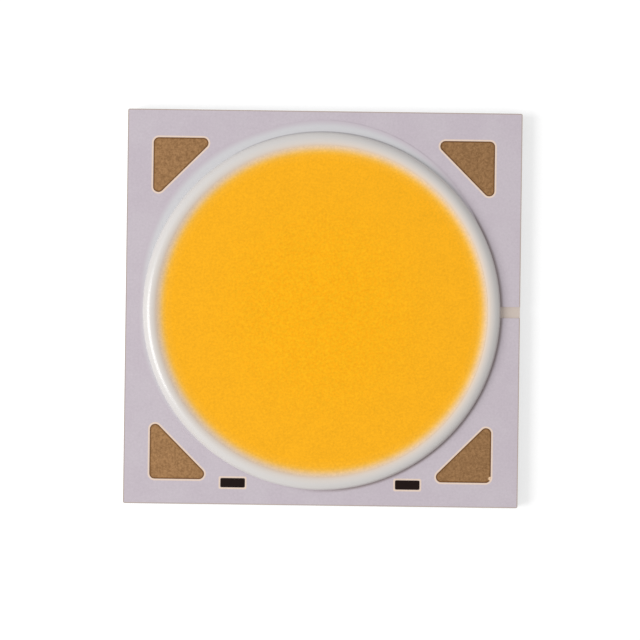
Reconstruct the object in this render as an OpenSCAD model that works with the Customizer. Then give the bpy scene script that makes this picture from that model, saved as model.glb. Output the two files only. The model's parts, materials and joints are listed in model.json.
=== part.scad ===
// Chip-on-board LED: a square aluminium board with a round phosphor-filled emitter,
// a silicone dam round it and a solder pad in each corner.
// Back face on z = 0, light leaves along +Z. Millimetres.

/* [Board] */
// Side of the square board
board_w = 28; // [27:0.25:40]
// Radius of the board's corners
board_corner_r = 0.12; // [0.05:0.01:1]
// Thickness of the aluminium plate
base_t = 1; // [0.6:0.05:3]
// Thickness of the insulating layer on the plate
dielectric_t = 0.08; // [0.05:0.01:0.2]
// Thickness of the copper foil
copper_t = 0.035; // [0.018:0.001:0.07]
// Thickness of the white mask where it covers the copper
mask_t = 0.025; // [0.015:0.005:0.06]
// Thickness of the gold on the pads and on the bond lands
plating_t = 0.006; // [0.003:0.001:0.01]
// How far the copper stays back from the board's edge
copper_edge_gap = 0.4; // [0.3:0.05:0.8]

/* [Registration] */
// How far the printed circuit sits to the right of the board's middle
circuit_dx = -0.04; // [-0.2:0.01:0.2]
// How far the printed circuit sits above the board's middle
circuit_dy = -0.12; // [-0.2:0.01:0.2]
// How far the dam was laid to the right of the circuit's middle
dam_dx = -0.04; // [-0.06:0.01:0.06]
// How far the dam was laid above the circuit's middle
dam_dy = -0.07; // [-0.08:0.01:0.08]

/* [Dam] */
// Diameter of the dam, to the middle of its bead
dam_d = 24; // [19:0.25:25]
// Width of the bead at its foot
bead_w = 1.42; // [1.2:0.02:1.8]
// Height of the bead above the mask
bead_h = 0.66; // [0.4:0.02:0.9]
// Thickness of the film of silicone that crept out from under the bead
bleed_t = 0.03; // [0.02:0.005:0.06]
// How far the film reaches from the bead's middle at its widest
bleed_reach = 1.55; // [1:0.05:1.7]

/* [Phosphor] */
// How far the phosphor's level lies below the top of the bead
fill_drop = 0.16; // [0.08:0.01:0.25]
// Radius of the curve in which the phosphor climbs the bead
meniscus_r = 2; // [0.8:0.1:3]
// Thickness of the phosphor's edge where it ends on the bead
fill_edge_t = 0.015; // [0.01:0.005:0.04]

/* [Window] */
// How far the mask runs inside the bead's foot
mask_step = 0.15; // [0.12:0.01:0.3]
// Width of the bare ring of copper that the wires are bonded to
bond_land_w = 0.36; // [0.25:0.01:0.6]
// How far the insulating layer runs inside the copper
dielectric_step = 0.1; // [0.05:0.01:0.2]

/* [Circuit] */
// Gap between the two halves of the circuit
net_gap = 1.2; // [1:0.05:2]
// Width of the slot left open in the mask, from the dam to the right edge
slot_w = 0.8; // [0.4:0.05:0.9]

/* [Pads] */
// From the board's sides to the outer edges of the pads
pad_inset = 1.88; // [1.2:0.02:2.1]
// Length of a pad's straight legs, measured to their sharp corners
pad_leg = 4.43; // [3:0.01:4.8]
// Radius of a pad's corners
pad_corner_r = 0.38; // [0.1:0.01:0.6]

/* [Polarity marks] */
// Length of a printed minus bar
mark_w = 1.74; // [1:0.02:2.5]
// Width of a printed minus bar
mark_l = 0.66; // [0.3:0.02:1]
// Thickness of the ink
mark_t = 0.015; // [0.01:0.005:0.03]
// From the circuit's middle to the middle of a bar, sideways
mark_x = 6.2; // [4:0.1:7]
// From the board's front edge to the middle of a bar
mark_inset = 1.66; // [0.9:0.02:2]
// Radius of a bar's corners
mark_corner_r = 0.1; // [0.05:0.01:0.14]

/* [Dies] */
// Number of strings wired side by side
strings = 12; // [8:1:16]
// Number of dies wired one after another in a string
dies = 12; // [6:1:13]
// Width of a die
die_w = 0.42; // [0.25:0.01:0.6]
// Length of a die
die_l = 0.68; // [0.4:0.01:0.75]
// Thickness of a die
die_t = 0.12; // [0.08:0.01:0.2]
// From the edge of the window to the middle of the last die of each string
die_edge = 0.5; // [0.48:0.01:0.8]
// How much further in the outermost strings stand than the ends of the middle ones
string_edge = 1.9; // [1.6:0.02:3]

/* [Bond wires] */
// Thickness of the gold wire, modelled square
wire_w = 0.024; // [0.018:0.001:0.03]
// Height that a wire rises between its two ends
loop_h = 0.18; // [0.1:0.01:0.2]
// Diameter of the flattened ball at each end of a wire
ball_d = 0.08; // [0.05:0.005:0.1]
// Height of the flattened ball
ball_h = 0.026; // [0.02:0.002:0.04]
// From the end of a die to the middle of its bond
bond_inset = 0.09; // [0.06:0.01:0.14]

/* [Hidden] */
$fn = 64;
eps = 0.01;
arc_steps = 10;

// Heights of the layers
dielectric_z = base_t;
copper_z = dielectric_z + dielectric_t;
copper_top = copper_z + copper_t;
mask_top = copper_top + mask_t;

// Middles of the printed circuit and of the dam
circuit_at = [circuit_dx, circuit_dy, 0];
dam_at = circuit_at + [dam_dx, dam_dy, 0];

// The bead is part of a circle that stands on the mask
dam_r = dam_d / 2;
bead_r = (pow(bead_w / 2, 2) + pow(bead_h, 2)) / (2 * bead_h);
bead_z = bead_h - bead_r;
dam_inner_r = dam_r - bead_w / 2;
dam_outer_r = dam_r + bead_w / 2;

// Steps of the window, from the mask down to the plate
mask_window_r = dam_inner_r - mask_step;
copper_window_r = mask_window_r - bond_land_w;
window_r = copper_window_r - dielectric_step;

// Phosphor's level, and the curve that is tangent to it and to the bead
fill_z = bead_h - fill_drop;
edge_r = bead_r + fill_edge_t;
meniscus_z = fill_z + meniscus_r;
meniscus_x = dam_r - sqrt(pow(edge_r + meniscus_r, 2) - pow(meniscus_z - bead_z, 2));
meniscus_end = atan2(bead_z - meniscus_z, dam_r - meniscus_x);

// Pads
pad_corner = board_w / 2 - pad_inset;

// Strings of dies, spread evenly across the window
die_circle_r = window_r - die_edge;
die_top = base_t + die_t;
land_top = copper_top + plating_t;
land_r = copper_window_r + bond_land_w / 2;
outer_string_x = die_circle_r - string_edge;
string_pitch = 2 * outer_string_x / (strings - 1);

// Lobes of the silicone film: direction in degrees, and share of bleed_reach
bleed_lobes = [[90, 1], [126, 1], [196, 0.66]];

function string_x(i) = (i - (strings + 1) / 2) * string_pitch;
function last_die_y(i) = sqrt(pow(die_circle_r, 2) - pow(string_x(i), 2));
function die_y(i, k) = -last_die_y(i) + 2 * last_die_y(i) * (k - 1) / (dies - 1);
function land_y(i) = sqrt(pow(land_r, 2) - pow(string_x(i), 2));
function numbered(name, i) = str(name, "_", i < 10 ? "0" : "", i);

// ---- Outlines ----

// A square with round corners, centred
module round_square(w, l, r) {
    square([w - 2 * r, l], center = true);
    square([w, l - 2 * r], center = true);
    for (x = [-1, 1], y = [-1, 1])
        translate([x * (w / 2 - r), y * (l / 2 - r)]) circle(r);
}

module board_outline() {
    round_square(board_w, board_w, board_corner_r);
}

// A right-angled triangular plate with round corners. Its square corner stands at the origin
// and its legs run along -X and -Y.
module round_triangle(leg, r, h) {
    far = leg - r * (1 + sqrt(2));
    slant = r / sqrt(2);
    linear_extrude(h) polygon([
        [-far, 0], [-r, 0],
        [0, -r], [0, -far],
        [-r - slant, -far - slant], [-far - slant, -r - slant]
    ]);
    for (c = [[-r, -r], [-far, -r], [-r, -far]]) translate(c) cylinder(r = r, h = h);
}

// A plate of a pad's outline, in one of the board's corners. They are counted round from
// the right rear one.
module pad_plate(corner, h) {
    rotate([0, 0, 90 * corner]) translate([pad_corner, pad_corner, 0])
        round_triangle(pad_leg, pad_corner_r, h);
}

// Everything on one side of the gap between the two halves of the circuit
module half_plane(side_y, w) {
    translate([0, side_y * (w + net_gap) / 2]) square([w, w], center = true);
}

// Round section of the bead, at its distance from the dam's middle, on the mask
module bead_section() {
    translate([dam_r, bead_z]) circle(bead_r);
}

// ---- Board ----

module aluminium_base() {
    color("#c9cccf") linear_extrude(base_t) board_outline();
}

module dielectric_layer() {
    color("#d8cdb4") translate([0, 0, dielectric_z]) difference() {
        linear_extrude(dielectric_t) board_outline();
        translate(circuit_at - [0, 0, eps]) cylinder(r = window_r, h = dielectric_t + 2 * eps);
    }
}

// One half of the circuit: the land round the window and the field that carries two pads
module copper_half(side_y) {
    field_w = board_w - 2 * copper_edge_gap;
    translate(circuit_at + [0, 0, copper_z]) linear_extrude(copper_t) difference() {
        intersection() {
            square([field_w, field_w], center = true);
            half_plane(side_y, board_w);
        }
        circle(copper_window_r);
    }
}

module anode_copper() {
    color("#b87348") copper_half(1);
}

module cathode_copper() {
    color("#b87348") copper_half(-1);
}

// The slot in the mask, from from_x out past the board's right edge
module slot(from_x, z, h) {
    translate([from_x, circuit_dy - slot_w / 2, z]) cube([board_w, slot_w, h]);
}

// White mask: it fills round the copper and lies level over it
module solder_mask() {
    slot_x = circuit_dx + dam_dx + dam_r;
    color("#c8bec6") difference() {
        translate([0, 0, copper_z]) linear_extrude(copper_t + mask_t) board_outline();
        copper_half(1);
        copper_half(-1);
        translate(circuit_at + [0, 0, copper_z - eps])
            cylinder(r = mask_window_r, h = copper_t + mask_t + 2 * eps);
        slot(slot_x, copper_z - eps, copper_t + mask_t + 2 * eps);
        for (corner = [0:3])
            translate(circuit_at + [0, 0, copper_top]) pad_plate(corner, mask_t + eps);
    }
}

// ---- Plating and print ----

// Gold on the copper in one pad's opening
module gold_pad(corner) {
    color("#a67c50") translate(circuit_at + [0, 0, copper_top]) pad_plate(corner, plating_t);
}

module anode_pad_left() {
    gold_pad(1);
}

module anode_pad_right() {
    gold_pad(0);
}

module cathode_pad_left() {
    gold_pad(2);
}

module cathode_pad_right() {
    gold_pad(3);
}

// Gold on the ring of copper that lies bare inside the dam
module bond_land(side_y) {
    color("#e3cf8e") translate(circuit_at + [0, 0, copper_top])
        linear_extrude(plating_t) difference() {
            intersection() {
                circle(mask_window_r);
                half_plane(side_y, board_w);
            }
            circle(copper_window_r);
        }
}

module anode_bond_land() {
    bond_land(1);
}

module cathode_bond_land() {
    bond_land(-1);
}

// Printed bar that marks the cathode side
module minus_mark(side_x) {
    color("#261918") translate(circuit_at + [side_x * mark_x, mark_inset - board_w / 2, mask_top])
        linear_extrude(mark_t) round_square(mark_w, mark_l, mark_corner_r);
}

module minus_mark_left() {
    minus_mark(-1);
}

module minus_mark_right() {
    minus_mark(1);
}

// ---- Dam ----

// The bead alone, on the mask
module bead() {
    rotate_extrude() intersection() {
        bead_section();
        square([2 * dam_r, bead_h + eps]);
    }
}

// Thin film of silicone that crept out over the mask, inside the board's outline
module bleed_film() {
    intersection() {
        difference() {
            union() for (lobe = bleed_lobes)
                rotate([0, 0, lobe[0]]) translate([bleed_reach * lobe[1], 0, 0])
                    cylinder(r = dam_r, h = bleed_t);
            translate([0, 0, -eps]) cylinder(r = dam_r, h = bleed_t + 2 * eps);
        }
        translate(-dam_at) linear_extrude(bleed_t) board_outline();
    }
}

// Silicone that sank into the slot where the bead crosses it
module slot_plug() {
    intersection() {
        translate(-dam_at) slot(circuit_dx + dam_dx + dam_r, copper_z, copper_t + mask_t);
        translate([0, 0, copper_z]) cylinder(r = dam_outer_r, h = copper_t + mask_t);
    }
}

module dam_ring() {
    color("#e6e4e2") translate(dam_at) {
        translate([0, 0, mask_top]) {
            bead();
            bleed_film();
        }
        slot_plug();
    }
}

// ---- Dies and wires ----

module die_string(i) {
    color("#9fb4c8") translate(circuit_at)
        for (k = [1:dies]) translate([string_x(i), die_y(i, k), base_t + die_t / 2])
            cube([die_w, die_l, die_t], center = true);
}

// A wire that arches from point a to point b, given as [y, z], with a flattened ball at
// each end
module bond_wire(a, b) {
    middle = (a + b) / 2;
    span = norm(b - a);
    tilt = atan2(b[1] - a[1], b[0] - a[0]);
    arc_r = (pow(span / 2, 2) + pow(loop_h, 2)) / (2 * loop_h);
    half_angle = asin(span / 2 / arc_r);
    for (p = [a, b]) translate([0, p[0], p[1]]) cylinder(d = ball_d, h = ball_h);
    translate([0, middle[0], middle[1] + wire_w / 2]) rotate([tilt, 0, 0])
        translate([0, 0, loop_h - arc_r]) rotate([90, 0, 90]) rotate([0, 0, 90 - half_angle])
            rotate_extrude(angle = 2 * half_angle) translate([arc_r, 0])
                square(wire_w, center = true);
}

// The wires of one string: land to die, die to die, and die to land
module bond_wires(i) {
    reach = die_l / 2 - bond_inset;
    color("#e0b64f") translate(circuit_at + [string_x(i), 0, 0]) {
        bond_wire([-land_y(i), land_top], [die_y(i, 1) - reach, die_top]);
        for (k = [1:dies - 1])
            bond_wire([die_y(i, k) + reach, die_top], [die_y(i, k + 1) - reach, die_top]);
        bond_wire([die_y(i, dies) + reach, die_top], [land_y(i), land_top]);
    }
}

// ---- Phosphor ----

// Half section of the phosphor above the mask, about the dam's middle
module fill_section() {
    difference() {
        polygon(concat(
            [[0, 0], [dam_r - edge_r * cos(meniscus_end), 0]],
            [for (k = [arc_steps:-1:0])
                let (a = -90 + (meniscus_end + 90) * k / arc_steps)
                [meniscus_x, meniscus_z] + meniscus_r * [cos(a), sin(a)]],
            [[0, fill_z]]
        ));
        bead_section();
    }
}

// Yellow silicone: a disc that climbs the bead, down to the plate in the window, moulded
// round everything inside it
module phosphor_fill() {
    color("#fab110") difference() {
        union() {
            translate(dam_at + [0, 0, mask_top]) rotate_extrude() fill_section();
            translate(circuit_at + [0, 0, copper_z])
                cylinder(r = mask_window_r, h = mask_top - copper_z);
            translate(circuit_at + [0, 0, base_t]) cylinder(r = window_r, h = dielectric_t);
        }
        copper_half(1);
        copper_half(-1);
        bond_land(1);
        bond_land(-1);
        for (i = [1:strings]) die_string(i);
        for (i = [1:strings]) bond_wires(i);
    }
}

aluminium_base();
dielectric_layer();
anode_copper();
cathode_copper();
solder_mask();
anode_pad_left();
anode_pad_right();
cathode_pad_left();
cathode_pad_right();
anode_bond_land();
cathode_bond_land();
minus_mark_left();
minus_mark_right();
dam_ring();
phosphor_fill();
for (i = [1:strings]) {
    die_string(i);
    bond_wires(i);
}
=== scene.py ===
import json
from math import cos, radians, sin, sqrt

import bmesh
import bpy
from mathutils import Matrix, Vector

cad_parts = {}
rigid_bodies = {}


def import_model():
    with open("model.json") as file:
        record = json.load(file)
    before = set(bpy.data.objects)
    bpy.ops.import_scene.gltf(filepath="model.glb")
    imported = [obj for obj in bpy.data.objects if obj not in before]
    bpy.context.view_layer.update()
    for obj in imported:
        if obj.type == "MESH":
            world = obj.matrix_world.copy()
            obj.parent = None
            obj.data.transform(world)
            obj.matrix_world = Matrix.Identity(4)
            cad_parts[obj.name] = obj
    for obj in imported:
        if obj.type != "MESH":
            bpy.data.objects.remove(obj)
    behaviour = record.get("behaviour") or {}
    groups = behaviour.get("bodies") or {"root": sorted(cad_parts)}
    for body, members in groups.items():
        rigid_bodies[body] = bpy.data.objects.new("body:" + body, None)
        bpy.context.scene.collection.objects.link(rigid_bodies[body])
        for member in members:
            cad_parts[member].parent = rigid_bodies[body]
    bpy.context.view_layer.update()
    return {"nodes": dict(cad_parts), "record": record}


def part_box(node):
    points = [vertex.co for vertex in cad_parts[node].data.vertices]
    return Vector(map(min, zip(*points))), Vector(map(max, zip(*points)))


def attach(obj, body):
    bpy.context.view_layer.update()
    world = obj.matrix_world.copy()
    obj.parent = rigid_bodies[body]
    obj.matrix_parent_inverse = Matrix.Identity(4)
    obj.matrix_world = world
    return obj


mm = 0.001

for leftover in list(bpy.data.objects):
    bpy.data.objects.remove(leftover)

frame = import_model()
cadNodes = frame["nodes"]
print("frame loaded,", len(cadNodes), "nodes")


# places on the board, from the frame

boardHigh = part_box("aluminium_base")[1]
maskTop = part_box("solder_mask")[1].z
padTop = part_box("cathode_pad_right")[1].z
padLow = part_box("cathode_pad_left")[0]
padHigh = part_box("anode_pad_right")[1]
circuit = (padLow + padHigh) / 2  # middle of the printed circuit
padCorner = (padHigh.x - padLow.x) / 2  # from there to the outer edges of the pads
padReach = padHigh.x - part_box("anode_pad_right")[0].x
markLow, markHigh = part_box("minus_mark_right")
markSize = markHigh - markLow
markAt = (markLow + markHigh) / 2 - Vector((circuit.x, 0, 0))  # sideways from the circuit's middle
fillLow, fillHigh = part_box("phosphor_fill")
dam = (fillLow + fillHigh) / 2  # middle of the dam
damOuter = dam.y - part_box("dam_ring")[0].y


# shader helpers

def paint(code):  # a colour as it is seen, such as "c6bcc5", made linear
    parts = [int(code[i:i + 2], 16) / 255 for i in (0, 2, 4)]
    return [p / 12.92 if p <= 0.04045 else ((p + 0.055) / 1.055) ** 2.4 for p in parts] + [1]


class Signal:  # a socket that takes part in expressions
    def __init__(self, graph, socket):
        self.graph = graph
        self.socket = socket

    def maths(self, operation, *values):
        return self.graph.add("Math", {"operation": operation}, dict(enumerate(values)))

    def output(self, name):
        return Signal(self.graph, self.socket.node.outputs[name])

    def __add__(self, other):
        return self.maths("ADD", self, other)

    def __radd__(self, other):
        return self.maths("ADD", other, self)

    def __sub__(self, other):
        return self.maths("SUBTRACT", self, other)

    def __rsub__(self, other):
        return self.maths("SUBTRACT", other, self)

    def __mul__(self, other):
        return self.maths("MULTIPLY", self, other)

    def __rmul__(self, other):
        return self.maths("MULTIPLY", other, self)

    def __truediv__(self, other):
        return self.maths("DIVIDE", self, other)

    def __abs__(self):
        return self.maths("ABSOLUTE", self)


def larger(first, second):
    return first.maths("MAXIMUM", first, second)


def smaller(first, second):
    return first.maths("MINIMUM", first, second)


def distance(across, along):
    return across.maths("SQRT", across * across + along * along)


def rise(value, start, end):  # 0 before start, 1 after end, smooth between
    settings = {"interpolation_type": "SMOOTHSTEP"}
    return value.graph.add("MapRange", settings, {"Value": value, "From Min": start, "From Max": end})


def band(value, low, high, soft):  # 1 between low and high
    return rise(value, low - soft, low) * (1 - rise(value, high, high + soft))


def between(value, limits):  # the first limit where value is 0, the second where it is 1
    low, high = limits
    return low + (high - low) * value


class Graph:  # a node tree that is written in expressions
    def __init__(self, tree):
        self.tree = tree

    def add(self, kind, settings=None, inputs=None, output=0):
        node = self.tree.nodes.new("ShaderNode" + kind)
        for name, value in (settings or {}).items():
            if name == "stops":
                self.setStops(node.color_ramp, value)
            else:
                setattr(node, name, value)
        for name, value in (inputs or {}).items():
            self.feed(node.inputs[name], value)
        return Signal(self, node.outputs[output])

    def setStops(self, ramp, stops):
        while len(ramp.elements) < len(stops):
            ramp.elements.new(0.5)
        for element, (position, colour) in zip(ramp.elements, stops):
            element.position = position
            element.color = colour

    def feed(self, socket, value):
        if isinstance(value, Signal):
            self.tree.links.new(value.socket, socket)
        else:
            socket.default_value = value


class Finish(Graph):  # one material, on its Principled BSDF
    def __init__(self, name, constants):
        self.material = bpy.data.materials.new(name)
        self.material.use_nodes = True
        super().__init__(self.material.node_tree)
        self.surface = self.tree.nodes["Principled BSDF"]
        for socket, value in constants.items():
            self.surface.inputs[socket].default_value = value
        self.bsdf = Signal(self, self.surface.outputs["BSDF"])
        self.place = self.add("TexCoord", output="Object")
        self.x = self.add("SeparateXYZ", {}, {"Vector": self.place})
        self.y = self.x.output("Y")
        self.z = self.x.output("Z")

    def noise(self, size, detail=2.0, roughness=0.5, place=None):  # size of the spots, in metres
        values = {"Vector": place or self.place, "Scale": 1 / size, "Detail": detail, "Roughness": roughness}
        return self.add("TexNoise", {}, values)

    def stretched(self, sizes):  # coordinates in which a pattern is longer along some axes
        return self.add("Mapping", {}, {"Vector": self.place, "Scale": [1 / s for s in sizes]})

    def mix(self, factor, first, second):
        return self.add("Mix", {"data_type": "RGBA"}, {0: factor, 6: first, 7: second}, output=2)

    def tint(self, colour, value):  # the colour made lighter or darker by a factor round 1
        return self.add("VectorMath", {"operation": "SCALE"}, {0: colour, "Scale": value})

    def bump(self, height, depth):
        bumped = self.add("Bump", {}, {"Height": height, "Distance": depth, "Strength": 1.0})
        self.feed(self.surface.inputs["Normal"], bumped)

    def colour(self, value):
        self.feed(self.surface.inputs["Base Color"], value)

    def roughness(self, value):
        self.feed(self.surface.inputs["Roughness"], value)

    def show(self, shader):
        self.feed(self.tree.nodes["Material Output"].inputs["Surface"], shader)


# distances over the board, shared by the finishes that meet there

pads = {"cornerRadius": 0.38 * mm}


def padEdge(finish):  # distance outside the nearest pad's outline, negative inside it
    radius = pads["cornerRadius"]
    side = padReach - 2 * radius  # of the triangle that the corner circles are centred on
    across = padCorner - radius - abs(finish.x - circuit.x)
    along = padCorner - radius - abs(finish.y - circuit.y)
    far = larger(across, along)
    near = smaller(across, along)
    slant = (far + near - side) / sqrt(2)
    slide = (far - near) / sqrt(2)
    toLeg = distance(far - smaller(larger(far, 0), side), near)
    toSlant = distance(slant, larger(slide - side / sqrt(2), 0))
    inside = larger(0 - near, slant)
    isInside = inside.maths("LESS_THAN", inside, 0)
    return isInside * inside + (1 - isInside) * smaller(toLeg, toSlant) - radius


def markEdge(finish):  # distance outside the nearest printed bar
    across = abs(abs(finish.x - circuit.x) - markAt.x) - markSize.x / 2
    along = abs(finish.y - markAt.y) - markSize.y / 2
    return distance(larger(across, 0), larger(along, 0))


def boardEdge(finish):  # distance in from the board's nearest side
    return boardHigh.x - larger(abs(finish.x), abs(finish.y))


def fromDam(finish):  # distance from the middle of the dam
    return distance(finish.x - dam.x, finish.y - dam.y)


# solder mask, with a painted highlight round each opening, bare resin along the cut sides and a painted
# contact shadow at the dam's foot
maskLooks = {
    "surface": {"Coat Weight": 0.25, "Coat Roughness": 0.12, "Specular IOR Level": 0.4},
    "lilac": "c8bec6", "deep": "c5bac3", "cloudSize": 2.5 * mm, "cloudLimits": (0.35, 0.65),
    "rim": "e9d2c1", "highlightFrom": 0.02 * mm, "highlightTo": 0.1 * mm, "highlightSoft": 0.04 * mm,
    "cut": "ab9683", "cutWidth": 0.1 * mm,
    "contactShade": "7d6c68", "contactShadeWidth": 0.24 * mm, "contactShadeFade": 3 * mm, "contactShadeStrength": 0.75,
    "grainSize": 0.16 * mm, "shade": (0.87, 1.12), "roughness": (0.36, 0.48),
    "peelSize": 0.45 * mm, "peel": 0.6, "grain": 0.15, "ridge": 0.5, "depth": 0.004 * mm,
}


def maskFinish():
    looks = maskLooks
    mask = Finish("mask", looks["surface"])
    clouds = rise(mask.noise(looks["cloudSize"], 3), *looks["cloudLimits"])
    grain = mask.noise(looks["grainSize"], 3, 0.7)
    peel = mask.noise(looks["peelSize"])
    colour = mask.mix(clouds, paint(looks["lilac"]), paint(looks["deep"]))
    opening = smaller(padEdge(mask), markEdge(mask))
    # painted highlight: a lighter band on the mask's edge round each opening
    rim = band(opening, looks["highlightFrom"], looks["highlightTo"], looks["highlightSoft"])
    colour = mask.mix(rim, colour, paint(looks["rim"]))
    cut = 1 - rise(boardEdge(mask), 0, looks["cutWidth"])
    colour = mask.mix(cut, colour, paint(looks["cut"]))
    # painted contact shadow on the mask at the dam's foot, fading out towards the lamp's side
    contactShade = 1 - rise(fromDam(mask), damOuter, damOuter + looks["contactShadeWidth"])
    contactShade = contactShade * rise(mask.x - dam.x, -looks["contactShadeFade"], looks["contactShadeFade"])
    colour = mask.mix(contactShade * looks["contactShadeStrength"], colour, paint(looks["contactShade"]))
    mask.colour(mask.tint(colour, between(grain, looks["shade"])))
    mask.roughness(between(grain, looks["roughness"]))
    mask.bump(peel * looks["peel"] + grain * looks["grain"] + rim * looks["ridge"], looks["depth"])
    return mask


padLooks = {
    "surface": {"Metallic": 1.0},
    "gold": "bd9266", "dark": "936d48", "grainSize": 0.15 * mm, "grainLimits": (0.25, 0.75),
    "edge": "75502e", "edgeWidth": 0.07 * mm, "edgeStrength": 0.85,
    "patchSize": 0.8 * mm, "shade": (0.94, 1.06), "roughness": (0.42, 0.62), "depth": 0.004 * mm,
}


def padFinish():
    looks = padLooks
    gold = Finish("goldPad", looks["surface"])
    grain = gold.noise(looks["grainSize"], 3, 0.75)
    patches = gold.noise(looks["patchSize"])
    colour = gold.mix(rise(grain, *looks["grainLimits"]), paint(looks["dark"]), paint(looks["gold"]))
    # painted shade in the recess just inside each mask opening, along the pad's edge
    paintedShade = rise(padEdge(gold), -2 * looks["edgeWidth"], -looks["edgeWidth"] / 2)
    colour = gold.mix(paintedShade * looks["edgeStrength"], colour, paint(looks["edge"]))
    gold.colour(gold.tint(colour, between(patches, looks["shade"])))
    gold.roughness(between(grain, looks["roughness"]))
    gold.bump(grain, looks["depth"])
    return gold


# colours where the phosphor thins out over the bead, by distance from the dam's middle in mm
rimLooks = {
    "start": 10.6, "end": 12.4,
    "stops": [(10.6, "fcb318"), (11.02, "fbb525"), (11.22, "f7ba40"), (11.37, "f3c168"), (11.57, "eac99b"),
              (11.77, "e0cdba"), (11.97, "dad1c9"), (12.27, "d6d2cf")],
    "shift": 0.05 * mm,  # how far to the right the phosphor's outline lies of the bead's middle
}


def rimColour(finish):
    start = rimLooks["start"]
    width = rimLooks["end"] - start
    stops = [((radius - start) / width, paint(code)) for radius, code in rimLooks["stops"]]
    radius = distance(finish.x - (dam.x + rimLooks["shift"]), finish.y - dam.y)
    along = (radius - start * mm) / (width * mm)
    return finish.add("ValToRGB", {"stops": stops}, {"Fac": along})


# a thin film round the bead, lighter near the bead and fading to the mask's colour at its edge: its lobes,
# as direction in degrees and shift outwards
film = {
    "lobes": [(90, 1.55 * mm), (126, 1.55 * mm), (196, 1.023 * mm)], "radius": 12 * mm, "height": 0.031 * mm,
    "near": "d0cfd2", "far": "c6bcc4", "fade": 0.5 * mm, "overlap": 0.02 * mm,
    "contactShade": "9c9699", "contactShadeFrom": 0.02 * mm, "contactShadeTo": 0.09 * mm, "contactShadeStrength": 0.6,
    "rearFrom": 10 * mm, "rearTo": 12.5 * mm,  # the painted contact shade shows at the rear only
}


def filmEdge(finish):  # distance in from the film's outer edge
    inside = None
    for turn, shift in film["lobes"]:
        across = finish.x - (dam.x + shift * cos(radians(turn)))
        along = finish.y - (dam.y + shift * sin(radians(turn)))
        lobe = film["radius"] - distance(across, along)
        inside = lobe if inside is None else larger(inside, lobe)
    return inside


def filmColour(finish, radius):
    depth = rise(filmEdge(finish), 0, film["fade"])
    skin = finish.mix(depth, paint(film["far"]), paint(film["near"]))
    # painted contact shade along the bead's foot at the rear, over the film
    contactShade = 1 - rise(radius, damOuter + film["contactShadeFrom"], damOuter + film["contactShadeTo"])
    contactShade = contactShade * rise(finish.y, dam.y + film["rearFrom"], dam.y + film["rearTo"])
    return finish.mix(contactShade * film["contactShadeStrength"], skin, paint(film["contactShade"]))


# the bead's foot on the side away from the lamp
foot = {
    "shade": "8b7b78", "strength": 0.5, "width": 0.25 * mm,
    "direction": -30, "from": 6 * mm, "to": 12 * mm,  # direction in degrees
}


def beadColour(finish, radius):
    turn = radians(foot["direction"])
    away = (finish.x - dam.x) * cos(turn) + (finish.y - dam.y) * sin(turn)
    shade = rise(radius, damOuter - foot["width"], damOuter) * rise(away, foot["from"], foot["to"])
    return finish.mix(shade * foot["strength"], rimColour(finish), paint(foot["shade"]))


siliconeLooks = {
    "surface": {"Coat Weight": 0.5, "Coat Roughness": 0.2},
    "grainSize": 0.3 * mm, "shade": (0.99, 1.01), "roughness": (0.34, 0.44), "depth": 0.003 * mm,
}


def siliconeFinish():
    looks = siliconeLooks
    silicone = Finish("damSilicone", looks["surface"])
    grain = silicone.noise(looks["grainSize"])
    radius = fromDam(silicone)
    onMask = 1 - rise(silicone.z, maskTop + film["height"], maskTop + 2 * film["height"])
    onMask = onMask * rise(radius, damOuter - film["overlap"], damOuter)
    colour = silicone.mix(onMask, beadColour(silicone, radius), filmColour(silicone, radius))
    silicone.colour(silicone.tint(colour, between(grain, looks["shade"])))
    silicone.roughness(between(grain, looks["roughness"]))
    silicone.bump(grain, looks["depth"])
    return silicone


phosphorLooks = {
    "surface": {"Specular IOR Level": 0.12},
    "amber": "ffad00", "yellow": "ffba0c", "powderSize": 0.2 * mm, "powderLimits": (0.35, 0.65),
    "middleEnd": 11 * mm, "middleFull": 2 * mm, "middleStrength": 0.8,
    "grainSize": 0.16 * mm, "shade": (0.72, 1.18), "cloudSize": 1.2 * mm, "cloudShade": 0.08,
    "roughness": (0.5, 0.65), "depth": 0.004 * mm,
}


def phosphorFinish():
    looks = phosphorLooks
    phosphor = Finish("phosphor", looks["surface"])
    grain = phosphor.noise(looks["grainSize"], 3, 0.75)
    clouds = phosphor.noise(looks["cloudSize"], 3)
    spots = rise(phosphor.noise(looks["powderSize"], 3, 0.7), *looks["powderLimits"])
    powder = phosphor.mix(spots, paint(looks["amber"]), paint(looks["yellow"]))
    middle = 1 - rise(fromDam(phosphor), looks["middleFull"], looks["middleEnd"])
    colour = phosphor.mix(middle * looks["middleStrength"], rimColour(phosphor), powder)
    shade = between(grain, looks["shade"]) + looks["cloudShade"] * clouds
    phosphor.colour(phosphor.tint(colour, shade))
    phosphor.roughness(between(grain, looks["roughness"]))
    phosphor.bump(grain + clouds, looks["depth"])
    return phosphor


# aluminium, rolled on the back and sawn on the sides
plateLooks = {
    "surface": {"Metallic": 1.0},
    "dark": "a9acb0", "bright": "dcdddf", "lineStrength": 0.7, "stainStrength": 0.3, "stainSize": 3 * mm,
    "rolled": (4 * mm, 0.05 * mm, 0.05 * mm),
    "sawn": (0.07 * mm, 0.07 * mm, 1.2 * mm), "sideDepth": 0.01 * mm,
    "burr": "8f8f90", "burrHeight": 0.05 * mm,
    "roughness": (0.28, 0.46), "stainRoughness": 0.1, "depth": 0.004 * mm,
}


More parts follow.
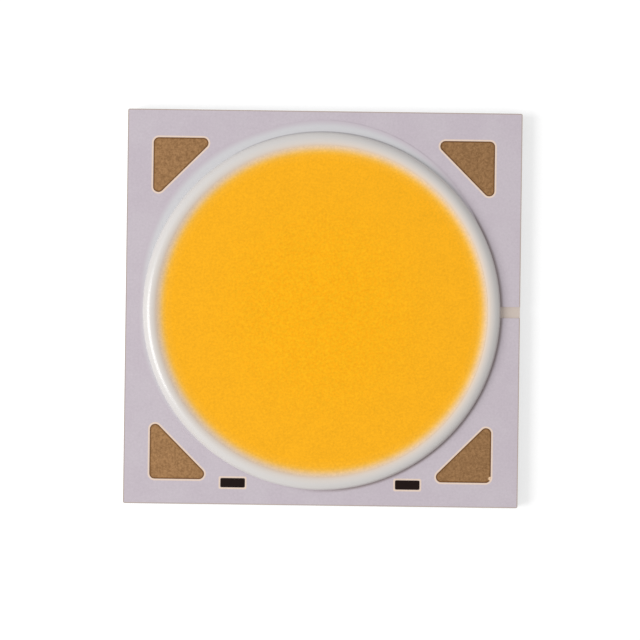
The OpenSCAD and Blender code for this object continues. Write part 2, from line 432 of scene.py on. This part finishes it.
def plateFinish():
    looks = plateLooks
    metal = Finish("aluminium", looks["surface"])
    rolled = metal.noise(1.0, 3, 0.6, metal.stretched(looks["rolled"]))
    sawn = metal.noise(1.0, 3, 0.6, metal.stretched(looks["sawn"]))
    stains = metal.noise(looks["stainSize"], 4, 0.6)
    onSide = 1 - rise(boardEdge(metal), 0, looks["sideDepth"])
    lines = onSide * sawn + (1 - onSide) * rolled
    brightness = lines * looks["lineStrength"] + stains * looks["stainStrength"]
    colour = metal.mix(brightness, paint(looks["dark"]), paint(looks["bright"]))
    burr = onSide * (1 - rise(metal.z, 0, looks["burrHeight"]))
    metal.colour(metal.mix(burr, colour, paint(looks["burr"])))
    metal.roughness(between(lines, looks["roughness"]) + looks["stainRoughness"] * stains)
    metal.bump(lines, looks["depth"])
    return metal


inkLooks = {
    "surface": {"Specular IOR Level": 0.1}, "dark": "120908", "bright": "261613",
    "grain": (0.1 * mm, 3, 0.6), "roughness": (0.5, 0.7), "depth": 0.003 * mm,
}
resinLooks = {
    "surface": {"Specular IOR Level": 0.35}, "dark": "c9b9ae", "bright": "d2c6bd",
    "grain": (0.12 * mm, 3, 0.65), "roughness": (0.55, 0.7), "depth": 0.004 * mm,
}
copperLooks = {
    "surface": {"Metallic": 1.0}, "dark": "a8643f", "bright": "c98758",
    "grain": (0.1 * mm, 3, 0.6), "roughness": (0.25, 0.45), "depth": 0.002 * mm,
}
landLooks = {
    "surface": {"Metallic": 1.0}, "dark": "c9a860", "bright": "e6cb8a",
    "grain": (0.1 * mm, 3, 0.6), "roughness": (0.25, 0.45), "depth": 0.002 * mm,
}
wireLooks = {
    "surface": {"Metallic": 1.0}, "dark": "d8a63c", "bright": "ecc468",
    "grain": (0.02 * mm, 3, 0.6), "roughness": (0.25, 0.45), "depth": 0.002 * mm,
}
dieLooks = {
    "surface": {"Coat Weight": 0.5}, "dark": "8fa6bd", "bright": "b6c7d6",
    "grain": (0.1 * mm, 2, 0.5), "roughness": (0.15, 0.25),
}


def grainedFinish(name, looks):  # two colours mixed by one grain, given as spot size, detail and roughness
    finish = Finish(name, looks["surface"])
    grain = finish.noise(*looks["grain"])
    finish.colour(finish.mix(grain, paint(looks["dark"]), paint(looks["bright"])))
    finish.roughness(between(grain, looks["roughness"]))
    if "depth" in looks:  # a die and the pale dome stay glossy
        finish.bump(grain, looks["depth"])
    return finish


finishes = {  # by the slot that the record gives each node
    "mask": maskFinish(), "gold_pad": padFinish(), "dam_silicone": siliconeFinish(),
    "phosphor": phosphorFinish(), "aluminium_plate": plateFinish(),
    "ink": grainedFinish("ink", inkLooks), "dielectric": grainedFinish("dielectric", resinLooks),
    "copper": grainedFinish("copper", copperLooks), "gold_land": grainedFinish("goldLand", landLooks),
    "gold_wire": grainedFinish("goldWire", wireLooks), "die": grainedFinish("die", dieLooks),
}
slots = {part["node"]: part["material_slot"] for part in frame["record"]["subparts"]}
for name, node in cadNodes.items():
    node.data.materials.clear()
    node.data.materials.append(finishes[slots[name]].material)
print("finishes made:", len(finishes))


def addPiece(name, shape, finish):  # the bmesh as an object at the origin
    mesh = bpy.data.meshes.new(name)
    shape.to_mesh(mesh)
    shape.free()
    mesh.materials.append(finish.material)
    piece = bpy.data.objects.new(name, mesh)
    bpy.context.scene.collection.objects.link(piece)
    return piece


# a small pale peach dome on the right front pad's edge
fleck = {
    "at": (12.03 * mm, -11.93 * mm), "radius": 0.11 * mm, "stretch": 1.25, "segments": 24, "rings": 12,
    "surface": {"Coat Weight": 0.3, "Coat Roughness": 0.15}, "dark": "e2b88e", "bright": "f0cfa8",
    "grain": (0.05 * mm, 2, 0.5), "roughness": (0.3, 0.5),
}


def makeFleck():
    shape = bmesh.new()
    bmesh.ops.create_uvsphere(
        shape, u_segments=fleck["segments"], v_segments=fleck["rings"], radius=fleck["radius"],
    )
    cut = bmesh.ops.bisect_plane(
        shape, geom=shape.verts[:] + shape.edges[:] + shape.faces[:],
        plane_co=(0, 0, 0), plane_no=(0, 0, -1), clear_outer=True,
    )
    rim = [part for part in cut["geom_cut"] if isinstance(part, bmesh.types.BMEdge)]
    bmesh.ops.edgeloop_fill(shape, edges=rim)
    flat = (maskTop - padTop) / fleck["radius"]
    bmesh.ops.scale(shape, verts=shape.verts, vec=(1, fleck["stretch"], flat))
    bmesh.ops.translate(shape, verts=shape.verts, vec=(*fleck["at"], padTop))
    bmesh.ops.recalc_face_normals(shape, faces=shape.faces)
    for face in shape.faces:
        face.smooth = True
    piece = addPiece("paleDome", shape, grainedFinish("paleDome", fleck))
    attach(piece, "root")


makeFleck()
print("stray mask laid")


# a sheet of paper, white where it is seen directly; the gap keeps it clear of the plate's back
floorLooks = {
    "surface": {"Specular IOR Level": 0.0, "Roughness": 0.9, "Emission Strength": 1.0},
    "size": 1200 * mm, "white": 0.6, "lift": 0.5, "gap": 0.004 * mm,
}


def paperFinish():
    looks = floorLooks
    paper = Finish("floorPaper", looks["surface"])
    paper.colour([looks["white"]] * 3 + [1])
    rays = paper.add("LightPath", output="Is Camera Ray")
    seen = rays + rays.output("Is Glossy Ray") + rays.output("Is Transmission Ray")
    paper.feed(paper.surface.inputs["Emission Color"], smaller(seen, 1) * looks["lift"])
    fromBelow = paper.add("NewGeometry", output="Backfacing")
    clear = paper.add("BsdfTransparent")
    paper.show(paper.add("MixShader", {}, {0: fromBelow, 1: paper.bsdf, 2: clear}))
    return paper


def makeFloor():
    shape = bmesh.new()
    bmesh.ops.create_grid(shape, x_segments=1, y_segments=1, size=floorLooks["size"] / 2)
    bmesh.ops.translate(shape, verts=shape.verts, vec=(0, 0, -floorLooks["gap"]))
    addPiece("studioFloor", shape, paperFinish())


# one large lamp at the left, and an even room
lights = {"from": (-435 * mm, -70 * mm, 371 * mm), "size": 288 * mm, "power": 2.05, "room": 0.61}


def makeLamp():
    data = bpy.data.lights.new("keyLamp", "AREA")
    data.size = lights["size"]
    data.energy = lights["power"]
    lamp = bpy.data.objects.new("keyLamp", data)
    bpy.context.scene.collection.objects.link(lamp)
    lamp.location = lights["from"]
    lamp.rotation_euler = (-lamp.location).to_track_quat("-Z", "Y").to_euler()
    lamp.visible_camera = False


def makeRoom():
    world = bpy.data.worlds.new("room")
    bpy.context.scene.world = world
    world.use_nodes = True
    room = Graph(world.node_tree)
    rays = room.add("LightPath", output="Is Camera Ray")
    seen = larger(rays, rays.output("Is Transmission Ray"))
    background = room.tree.nodes["Background"]
    background.inputs["Color"].default_value = (1, 1, 1, 1)
    room.feed(background.inputs["Strength"], between(seen, (lights["room"], 1)))


makeFloor()
makeLamp()
makeRoom()
print("studio lit")


# from straight above, with the board a little off the middle and turned by the roll in degrees
view = {"offset": (-0.188 * mm, -0.826 * mm), "distance": 126.2 * mm, "lens": 100, "roll": 0.77}


def makeCamera():
    data = bpy.data.cameras.new("camera")
    data.lens = view["lens"]
    data.clip_start = 1 * mm
    camera = bpy.data.objects.new("camera", data)
    bpy.context.scene.collection.objects.link(camera)
    camera.location = (*view["offset"], maskTop + view["distance"])
    camera.rotation_euler = (0, 0, radians(view["roll"]))
    bpy.context.scene.camera = camera


makeCamera()
bpy.context.scene.view_settings.view_transform = "Standard"
print("camera placed")
